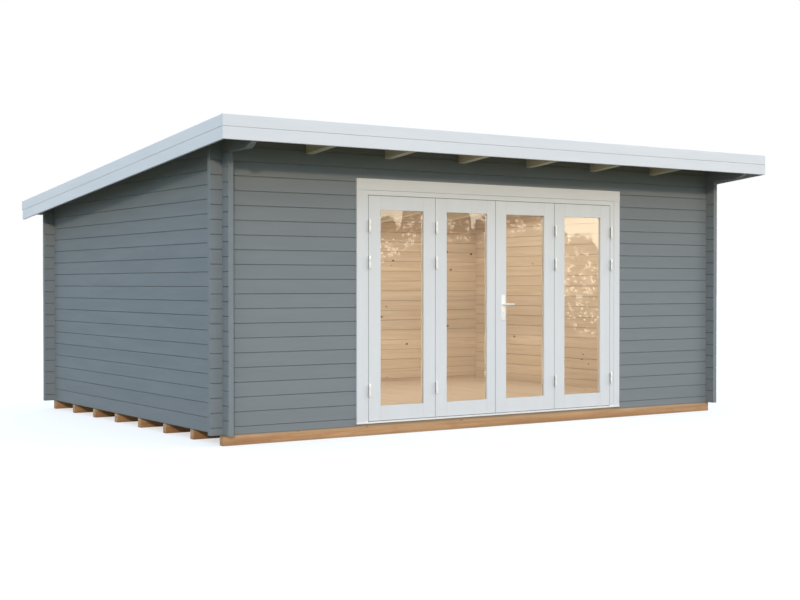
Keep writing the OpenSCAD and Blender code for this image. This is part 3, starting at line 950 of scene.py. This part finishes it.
@dataclass
class DoorSet:
    """The frame, casing and four folding leaves, with their glass and fittings."""

    seat: float = 0.008
    gap: float = 0.004
    nose: float = 0.014
    sill_paint: Colour = (0.95, 0.94, 0.925)
    sill_shade: Colour = (0.92, 0.91, 0.895)
    flag: float = 0.003
    flag_edge: float = 0.006
    flag_reach: float = 0.012
    flag_arris: float = 0.0006
    hinges_apart: tuple[float, float] = (0.1, 0.13)
    hinge_radius: float = 0.008
    hinge_length: float = 0.110
    hinge_arris: float = 0.0015
    washer: float = 0.002
    washer_share: float = 0.82
    cap: float = 0.004
    cap_sunk: float = 0.001
    cap_share: float = 0.6
    plate_width: float = 0.040
    plate: float = 0.008
    plate_corner: float = 0.009
    plate_arris: float = 0.0022
    lever_height: float = 0.138
    lever_radius: float = 0.0088
    lever_bend: float = 0.013
    lever_taper: tuple[tuple[float, float], ...] = ((0.55, 0.86), (0.40, 0.84), (0.05, 0.70))
    lever_axis: float = 0.009
    lever_short: float = 0.001
    rose: float = 0.004
    rose_radius: float = 0.0135
    rose_arris: float = 0.0015
    lock_drop: float = 0.075
    lock_rim: float = 0.0016
    lock_dish: float = 0.0010
    tongue_half: float = 0.0048
    tongue_foot: float = 0.019
    tongue_head: float = 0.004
    tongue_sunk: float = 0.007
    tongue_round: float = 0.004
    slot_half: tuple[float, float, float] = (0.0008, 0.0004, 0.004)
    slot_sunk: float = 0.0008
    seal_sunk: float = 0.0004
    seal_back: float = 0.010
    nail_radius: float = 0.0032
    nail_height: float = 0.0014
    nail_inset: float = 0.022
    head_nails: int = 6
    head_margin: float = 0.10
    side_nails: int = 5
    side_margin: float = 0.08
    side_inset: float = 0.018

    def build(self) -> None:
        """Dresses the joinery and builds the fittings."""
        self.dress_joinery()
        self.build_hinges()
        self.build_lever()
        self.build_seals()
        self.build_nails()

    def dress_joinery(self) -> None:
        """Paints the frame, casing and leaves along their own grain, and glazes the leaves."""
        upright = WhitePaint("white_upright", Run.UPRIGHT).make()
        level = WhitePaint("white_level", Run.ALONG_X).make()
        for part in ("frame", "casing"):
            for side, finish in (("left", upright), ("right", upright), ("head", level)):
                dress(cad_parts[f"door_{part}_{side}"], finish)
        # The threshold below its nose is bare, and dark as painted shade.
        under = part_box("door_threshold")[1].z - self.nose
        sill = WhitePaint("white_sill", Run.ALONG_X, self.sill_paint, self.sill_shade, bare_shaded_below=under)
        dress(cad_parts["door_threshold"], sill.make())
        glass = ClearGlass().make()
        for k in range(1, 5):
            low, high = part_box(f"door_glass_{k}")
            edges = (low.x + self.seat, high.x - self.seat, low.z + self.seat, high.z - self.seat)
            leaf = WhitePaint(f"white_leaf_{k}", Run.UPRIGHT, rails=edges).make()
            dress(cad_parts[f"door_leaf_{k}"], leaf)
            dress(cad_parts[f"door_glass_{k}"], glass)
            hide(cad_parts[f"door_glass_{k}"], "shadow")

    def hinge_places(self) -> list[Vector]:
        """Middle of each hinge barrel, read from the CAD node's own mesh.

        Returns:
            The places, from left to right and from the foot up.
        """
        wide, high = self.hinges_apart
        groups: list[list[Vector]] = []
        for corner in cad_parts["door_hinges"].data.vertices:
            for group in groups:
                if abs(group[0].x - corner.co.x) < wide and abs(group[0].z - corner.co.z) < high:
                    group.append(corner.co.copy())
                    break
            else:
                groups.append([corner.co.copy()])
        places = []
        for group in groups:
            xs, ys, zs = zip(*group)
            middle = ((min(xs) + max(xs)) / 2, min(ys) + self.hinge_radius, (min(zs) + max(zs)) / 2)
            places.append(Vector(middle))
        return sorted(places, key=lambda v: (round(v.x, 2), v.z))

    def build_hinges(self) -> None:
        """Builds one lift-off hinge of two knuckles, a washer, end caps and flags, and hangs its copies."""
        places = self.hinge_places()
        middle, half, radius = places[0], self.hinge_length / 2, self.hinge_radius
        up = Vector((0, 0, 1))
        start = half - self.cap + self.cap_sunk
        length = start - self.washer / 2
        lower = turned("hinge", middle - up * start, up, radius, length, sides=16)
        ease(lower, self.hinge_arris, lambda at, way: abs(way.z) < 0.1, segments=2)
        upper = copy_at(lower, up * (length + self.washer), "knuckle")
        thick, wide = self.washer, radius * self.washer_share
        washer = turned("washer", middle - up * thick / 2, up, wide, thick, sides=16)
        ease(washer, thick / 5, lambda at, way: abs(way.z) < 0.1)
        caps = []
        for end, foot in ((-1, -half), (1, half - self.cap)):
            cap = turned("cap", middle + up * foot, up, radius * self.cap_share, self.cap, sides=12)
            tip = middle.z + end * (half - self.cap / 4)
            edge = self.hinge_arris
            ease(cap, edge, lambda at, way: abs(way.z) < 0.1 and (at.z - tip) * end > 0, segments=2)
            caps.append(cap)
        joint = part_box("door_leaf_1")[0].y
        plates = []
        outer = half - self.flag_edge
        for low, high in ((-outer, -self.washer), (self.washer, outer)):
            near = (middle.x - self.flag / 2, middle.y, middle.z + low)
            far = (middle.x + self.flag / 2, joint + self.flag_reach, middle.z + high)
            plates.append(ease(block("flag", near, far), self.flag_arris, lambda at, way: abs(way.y) > 0.9))
        barrel = round_off(join("hinge", [lower, upper, washer, *caps]))
        pair = join("flags", plates)
        steps = [place - middle for place in places[1:]]
        hinges = row("hinge_barrels", barrel, steps)
        flags = row("hinge_flags", pair, steps)
        white = Coated("white_hinge", (0.90, 0.91, 0.91), rough=0.26, metal=0.35).make()
        put_on(hinges, white, "white_metal", "door_hinges")
        # The flags' dark grey is painted shade: it stands for the shade in the gap beside each barrel.
        put_on(flags, Coated("flag_grey_shade", (0.27, 0.27, 0.27), rough=0.5).make(), "white_metal")

    def build_lever(self) -> None:
        """Builds the lever on its long plate outside and inside, and the lock cylinder below it."""
        low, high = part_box("door_handle")
        leaf_low, leaf_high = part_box("door_leaf_3")
        face = leaf_low.y
        front, rim = face - self.plate, face - self.plate - self.rose
        middle, height = low.x + self.plate_width / 2, low.z + self.lever_height
        back, right = Vector((0, -1, 0)), Vector((1, 0, 0))
        plate = block("lever_set", (low.x, front, low.z), (low.x + self.plate_width, face, high.z))
        ease(plate, self.plate_corner, lambda at, way: abs(way.y) > 0.9, segments=4)
        ease(plate, self.plate_arris, lambda at, way: at.y < front + HAIR, segments=3)
        rose = turned("rose", (middle, front, height), back, self.rose_radius, self.rose, sides=24)
        ease(rose, self.rose_arris, lambda at, way: abs(way.y) < 0.1 and at.y < rim + HAIR, segments=2)
        bend = self.lever_bend
        neck = face - low.y - self.lever_axis - bend
        lever = turned("lever", (middle, front, height), back, self.lever_radius, neck - self.plate)
        open_up(lever, Part.FACES, lambda at, way: way.y < -0.9)
        turn = Vector((middle + bend, face - neck, height))
        bpy.ops.mesh.spin(steps=6, angle=math.radians(90), center=turn, axis=(0, 0, 1))
        reach = high.x - middle - bend - self.lever_short
        for step, narrow in self.lever_taper:
            bpy.ops.mesh.extrude_region_move(TRANSFORM_OT_translate={"value": tuple(right * reach * step)})
            bpy.ops.transform.resize(value=(1, narrow, narrow))
        put_down_all()
        axle = height - self.lock_drop
        lock = turned("lock", (middle, front, axle), back, self.lever_radius, self.rose, sides=24)
        open_up(lock, Part.FACES, lambda at, way: way.y < -0.9)
        bpy.ops.mesh.inset(thickness=self.lock_rim)
        bpy.ops.mesh.extrude_region_move(TRANSFORM_OT_translate={"value": (0, self.lock_dish, 0)})
        put_down_all()
        half, end = self.tongue_half, axle - self.tongue_foot
        far = (middle + half, face - self.tongue_sunk, axle - self.tongue_head)
        tongue = block("tongue", (middle - half, rim, end), far)
        ease(tongue, self.tongue_round, lambda at, way: abs(way.y) > 0.9 and at.z < end + HAIR, segments=4)
        outside = round_off(join("lever_outside", [plate, rose, lever, lock, tongue]))
        across = leaf_low.y + leaf_high.y
        mirror = Matrix.Translation((0, across, 0)) @ Matrix.Scale(-1, 4, Vector((0, 1, 0)))
        inside = copy_at(outside, mirror, "lever_inside")
        open_up(inside, Part.FACES, lambda at, way: True)
        bpy.ops.mesh.normals_make_consistent(inside=False)
        put_down_all()
        size = Vector(self.slot_half)
        slots = []
        for y in (rim + self.slot_sunk, across - rim - self.slot_sunk):
            spot = Vector((middle, y, axle))
            slot = block("key_slot", spot - size, spot + size)
            slots.append(ease(slot, 0.0003, lambda at, way: abs(way.y) > 0.9))
        white = Coated("white_lever", (0.99, 0.99, 0.97), rough=0.30).make()
        put_on(join("lever_sets", [outside, inside]), white, "white_metal", "door_handle")
        steel = Coated("dark_steel", (0.03, 0.03, 0.03), rough=0.5, metal=0.6).make()
        put_on(join("key_slots", slots), steel, "white_metal")

    def build_seals(self) -> None:
        """Lays the dark seals that close the running gaps round the leaves, a little behind their faces; set
        so near the faces, they are also painted shade in the gaps.
        """
        boxes = [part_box(f"door_leaf_{k}") for k in range(1, 5)]
        gap = self.gap
        near, far = boxes[0][0].y + self.seal_sunk, boxes[0][0].y + self.seal_back
        low, high = boxes[0][0].z, boxes[0][1].z
        left, right, lap = boxes[0][0].x, boxes[3][1].x, boxes[2][0].x
        uprights = [left - gap, boxes[0][1].x, boxes[2][1].x, right, lap - gap]
        spans = [(x, x + gap, low, high) for x in uprights]
        spans += [(left, right, high, high + gap), (left, right, low - gap, low)]
        strips = [block("seal", (a, near, c), (b, far, d)) for a, b, c, d in spans]
        for strip in strips:
            ease(strip, gap * 0.3, lambda at, way: at.y < near + HAIR)
        seals = join("gap_seals", strips)
        # Real seals, whose near-black colour so close behind the faces is also painted shade in the gaps.
        put_on(seals, Coated("seal_and_gap_shade", (0.018, 0.018, 0.018), rough=0.75).make(), "white_painted_wood")

    def build_nails(self) -> None:
        """Sets painted nail heads along the casing boards."""
        head_low, head_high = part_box("door_casing_head")
        face = head_low.y
        spots = []
        ends = (head_low.z + self.nail_inset, head_high.z - self.nail_inset)
        for x in spaced(head_low.x, head_high.x, self.head_margin, self.head_nails):
            spots += [Vector((x, face, z)) for z in ends]
        for side in ("left", "right"):
            low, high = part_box(f"door_casing_{side}")
            edges = (low.x + self.side_inset, high.x - self.side_inset)
            for z in spaced(low.z, high.z, self.side_margin, self.side_nails):
                spots += [Vector((x, face, z)) for x in edges]
        half, out = self.nail_height / 2, Vector((0, -1, 0))
        foot = spots[0] - out * 0.0006
        nail = turned("nail", foot, out, self.nail_radius, self.nail_height, sides=10)
        ease(nail, half, lambda at, way: at.y < spots[0].y - half)
        nails = round_off(row("casing_nails", nail, [at - spots[0] for at in spots[1:]]))
        put_on(nails, Coated("painted_nail", (0.72, 0.74, 0.74), rough=0.4).make(), "white_painted_wood")


# ---- the studio ----


@dataclass
class Studio:
    """The pale floor, the soft lights, the camera, and what the panes mirror."""

    stand: tuple[float, float, float] = (-4.5844, -9.3041, 1.1580)
    heading: float = 33.773
    dip: float = 0.666
    lens: float = 60.39
    low_sky: Colour = (0.66, 0.82, 0.80)
    high_sky: Colour = (0.95, 1.29, 1.81)
    low_light: Colour = (1.0, 0.81, 0.59)
    wide_light: Colour = (1.0, 0.74, 0.49)
    floor_light: Colour = (0.13, 0.11, 0.055)
    floor_pale: Colour = (0.45, 0.45, 0.45)
    floor_glow: float = 0.62
    top_height: float = 2.055
    card_turn: float = 38.0
    card_off: float = 17.0
    card_size: tuple[float, float] = (6.4, 3.1)
    card_middle: float = 1.56
    field_size: tuple[float, float] = (6.4, 15.0)
    floor_width: float = 240.0
    blind_margin: float = 0.02
    card_half: float = 3.0
    card_high: float = 4.0
    treetops: tuple[tuple[float, float], ...] = (
        (-3.0, 2.6), (-2.44, 2.66), (-2.3, 2.74), (-2.11, 2.46), (-2.01, 2.95), (-0.64, 2.95),
        (-0.54, 2.43), (-0.44, 2.62), (-0.2, 2.66), (0.0, 3.0), (1.1, 2.9), (1.3, 2.3), (1.45, 2.34),
        (1.5, 2.17), (1.7, 2.32), (1.95, 2.24), (2.2, 2.0), (3.0, 1.9),
    )
    gap_foot: tuple[tuple[float, float], ...] = (
        (-3.0, 1.6), (-2.2, 1.7), (-1.9, 2.0), (-0.2, 2.1), (1.0, 2.3), (1.3, 1.1), (1.75, 0.15), (3.0, 0.0),
    )
    leaf: Colour = (0.36, 0.32, 0.31)
    evening: Colour = (9.7, 9.0, 7.2)
    shaded: Colour = (0.30, 0.24, 0.17)
    sunlit: Colour = (3.6, 2.7, 1.7)

    def build(self) -> None:
        """Sets the room up round the cabin."""
        self.set_view()
        self.hang_sky()
        self.lay_floor()
        self.hang_lamps()
        self.hang_blind()
        self.lay_cards()

    def set_view(self) -> None:
        """Stands the camera off from the walls' front left corner, and keeps colours as written."""
        data = bpy.data.cameras.new("camera")
        data.lens, data.sensor_width, data.sensor_fit = self.lens, 36.0, "HORIZONTAL"
        data.clip_end = 300.0
        side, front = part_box("left_wall")[0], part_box("front_wall_head")[0]
        at = Vector((side.x, front.y, side.z)) + Vector(self.stand)
        camera = self.hang(data, at, Euler((math.radians(90 - self.dip), 0.0, math.radians(-self.heading))))
        bpy.context.scene.camera = camera
        bpy.context.scene.view_settings.view_transform = "Standard"

    def hang(self, data: bpy.types.ID, at: Vector, turn: Euler) -> Piece:
        """Hangs a camera or a lamp.

        Args:
            data: The camera or lamp.
            at: Its place.
            turn: Its turn.

        Returns:
            The object that carries it.
        """
        piece = bpy.data.objects.new(data.name, data)
        piece.location, piece.rotation_euler = at, turn
        bpy.context.collection.objects.link(piece)
        return piece

    def seen(self, web: Web) -> Socket:
        """1 for rays that show the background itself, in a mirror or through glass too.

        Args:
            web: The tree of nodes.

        Returns:
            The share's socket.
        """
        rays = web.add("ShaderNodeLightPath").outputs
        direct = web.sum("MAXIMUM", rays["Is Camera Ray"], rays["Is Glossy Ray"])
        return web.sum("MAXIMUM", direct, rays["Is Transmission Ray"])

    def hang_sky(self) -> None:
        """Lights the scene evenly from all round, and shows white behind it."""
        world = bpy.data.worlds.new("sky")
        bpy.context.scene.world = world
        web = Web("sky", world)
        way = web.add("ShaderNodeTexCoord").outputs["Generated"]
        height = web.add("ShaderNodeSeparateXYZ", {0: way}).outputs[2]
        light = web.add("ShaderNodeBackground", {0: web.blend(height, self.low_sky, self.high_sky)})
        white = web.add("ShaderNodeBackground", {0: (1.0, 1.0, 1.0, 1.0)})
        both = {0: self.seen(web), 1: light.outputs[0], 2: white.outputs[0]}
        web.add("ShaderNodeOutputWorld", {0: web.add("ShaderNodeMixShader", both).outputs[0]})

    def lay_floor(self) -> None:
        """Lays a plain pale floor that keeps the cabin's shadow."""
        web = Web("studio_floor")
        tones = (self.floor_light, self.floor_pale)
        matt, pale = (web.add("ShaderNodeBsdfDiffuse", {0: (*tone, 1.0)}) for tone in tones)
        glow = web.add("ShaderNodeEmission", {1: self.floor_glow})
        shown = web.add("ShaderNodeAddShader", {0: pale.outputs[0], 1: glow.outputs[0]})
        both = {0: self.seen(web), 1: matt.outputs[0], 2: shown.outputs[0]}
        web.close(web.add("ShaderNodeMixShader", both))
        self.set_card("studio_floor", Vector((0, 0, -0.0005)), (0.0, 0.0, 0.0), (self.floor_width,) * 2, web)

    def hang_lamps(self) -> None:
        """Hangs a warm low light at the front left, a wide glow at the front right, and room lamps."""
        self.hang_sun("front_light", right=-31.0, up=16.6, colour=self.low_light, strength=1.25, spread=4.0)
        self.hang_sun("front_glow", right=55.0, up=20.0, colour=self.wide_light, strength=0.74, spread=60.0)
        low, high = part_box("floor")
        middle = (low + high) / 2
        fall = -math.atan(roof_fall())
        top = Vector((middle.x, middle.y, self.top_height))
        self.hang_panel("room_top", top, tilt=fall, size=(5.05, 3.3), power=55.0)
        rear = Vector((middle.x, middle.y + 0.5, high.z + 0.01))
        self.hang_panel("room_floor", rear, tilt=math.pi, size=(3.6, 2.2), power=10.0)

    def hang_panel(self, name: str, at: Vector, tilt: float, size: Sequence[float], power: float) -> None:
        """Hangs a soft panel in the room that is itself unseen.

        Args:
            name: Its name.
            at: Its middle.
            tilt: Its turn about X from shining down, in radians.
            size: Its width and height.
            power: Its power, in watts.
        """
        lamp = bpy.data.lights.new(name, "AREA")
        lamp.shape, lamp.size, lamp.size_y, lamp.energy = "RECTANGLE", *size, power
        hide(self.hang(lamp, at, Euler((tilt, 0.0, 0.0))), "camera", "glossy", "transmission")

    def hang_sun(
        self, name: str, right: float, up: float, colour: Colour, strength: float, spread: float
    ) -> None:
        """Hangs a far lamp.

        Args:
            name: Its name.
            right: How far to the right of the front wall's own direction it stands, in degrees.
            up: Its height above the horizon, in degrees.
            colour: Its colour.
            strength: Its strength.
            spread: How wide it looks, in degrees.
        """
        lamp = bpy.data.lights.new(name, "SUN")
        lamp.color, lamp.energy, lamp.angle = colour, strength, math.radians(spread)
        a, b = math.radians(right), math.radians(up)
        source = Vector((math.sin(a) * math.cos(b), -math.cos(a) * math.cos(b), math.sin(b)))
        self.hang(lamp, source * 12, source.to_track_quat("Z", "Y").to_euler())

    def hang_blind(self) -> None:
        """Hangs an unseen blind just inside the doors, so that the room keeps its own even light."""
        low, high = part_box("door_leaf_1")[0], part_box("door_leaf_4")[1]
        middle = Vector(((low.x + high.x) / 2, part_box("floor")[0].y + 0.004, (low.z + high.z) / 2))
        web = Web("room_blind")
        web.close(web.add("ShaderNodeBsdfDiffuse", {"Color": (0.35, 0.26, 0.17, 1.0)}))
        more = 2 * self.blind_margin
        size = (high.x - low.x + more, high.z - low.z + more)
        hidden = ("camera", "glossy", "transmission", "volume_scatter")
        self.set_card("room_blind", middle, (90.0, 0.0, 0.0), size, web, *hidden)

    def lay_cards(self) -> None:
        """Sets two cards that only mirrors see: far trees under an evening sky, and a field before them."""
        turn = math.radians(self.card_turn)
        away = Vector((math.sin(turn), -math.cos(turn), 0))
        start = Vector((0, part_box("front_wall_head")[0].y, 0))
        foot = start + away * self.card_off
        hidden = ("camera", "diffuse", "transmission", "shadow", "volume_scatter")
        web = Web("mirror_card")
        across = web.sum("DIVIDE", web.less(web.axis(0), foot.x), math.cos(turn))
        height = web.axis(2)
        colour = self.treeline(web, across, height)
        field = web.times(self.lit(web, across), web.spread(height, 0.10, 0.26, 1.0, 0.0))
        web.close(web.add("ShaderNodeEmission", {"Color": web.blend(field, colour, self.sunlit)}))
        middle = foot + Vector((0, 0, self.card_middle))
        self.set_card("mirror_card", middle, (90.0, 0.0, self.card_turn), self.card_size, web, *hidden)
        web = Web("mirror_ground")
        x, y = (web.less(web.axis(k), start[k]) for k in (0, 1))
        across = web.sum("ADD", web.times(x, -away.y), web.times(y, away.x))
        depth = web.sum("ADD", web.times(x, away.x), web.times(y, away.y))
        field = web.times(self.lit(web, across), web.spread(depth, 4.8, 7.2))
        web.close(web.add("ShaderNodeEmission", {"Color": web.blend(field, self.shaded, self.sunlit)}))
        near = foot - away * self.field_size[1] / 2 + Vector((0, 0, 0.004))
        self.set_card("mirror_ground", near, (0.0, 0.0, self.card_turn), self.field_size, web, *hidden)

    def treeline(self, web: Web, across: Socket, height: Socket) -> Socket:
        """Dark trees with the evening sky over them and, above a drawn line, between their leaves.

        Args:
            web: The tree of nodes.
            across: How far across the card a place is, from its middle.
            height: How high it is.

        Returns:
            The colour's socket.
        """
        half, high = self.card_half, self.card_high
        share = web.sum("DIVIDE", web.sum("ADD", across, half), 2 * half)
        top, gap_foot = (
            web.times(web.curve(share, [((u + half) / (2 * half), h / high) for u, h in line]), high)
            for line in (self.treetops, self.gap_foot)
        )
        twigs = web.less(web.noise((5.0, 5.0, 5.0), 8.0, 0.78), 0.5)
        above = web.less(web.sum("ADD", height, web.times(twigs, 0.85)), top)
        clump = web.noise((3.6, 3.6, 5.0), 4.0, 0.65, shift=(3.0, 0.0, 1.0))
        size = web.spread(clump, 0.35, 0.57, 0.06, 0.53)
        dots = web.pattern("Voronoi", (11.0, 11.0, 13.0), (0.0, 0.0, 0.0))
        leaves = web.less(size, dots.outputs["Distance"])
        patch = web.sum("MAXIMUM", web.spread(leaves, -0.06, 0.16), web.spread(clump, 0.46, 0.62, 0.0, 0.36))
        reach = web.spread(web.less(height, gap_foot), -0.05, 0.20, 0.0, 0.72)
        gaps = web.times(patch, reach, web.spread(above, -0.45, -0.25, 1.0, 0.0))
        return web.blend(web.sum("MAXIMUM", web.spread(above, -0.05, 0.06), gaps), self.leaf, self.evening)

    def lit(self, web: Web, across: Socket) -> Socket:
        """How far the field is sunlit, from its place across the cards: its right end lies in shade."""
        return web.spread(across, 0.75, 1.25, 0.5, 0.0)

    def set_card(
        self, name: str, at: Vector, turn: Sequence[float], size: Sequence[float], web: Web, *hidden: str
    ) -> None:
        """Sets a flat card.

        Args:
            name: Its name.
            at: Its middle.
            turn: Its turn, in degrees; unturned it lies flat.
            size: Its width and length.
            web: Its finish.
            hidden: Kinds of ray that it is kept from.
        """
        put_down_all()
        bpy.ops.mesh.primitive_plane_add(size=1, location=at, rotation=tuple(math.radians(k) for k in turn))
        card = bpy.context.object
        card.scale = (*size, 1.0)
        settle(card, name)
        dress(card, web.material)
        hide(card, *hidden)


def main() -> None:
    """Builds the classes in order."""
    logging.basicConfig(level=logging.INFO, format="%(message)s")
    LogWalls().dress()
    Ground().build()
    Roof().build()
    DoorSet().build()
    Studio().build()


if __name__ == "__main__":
    main()
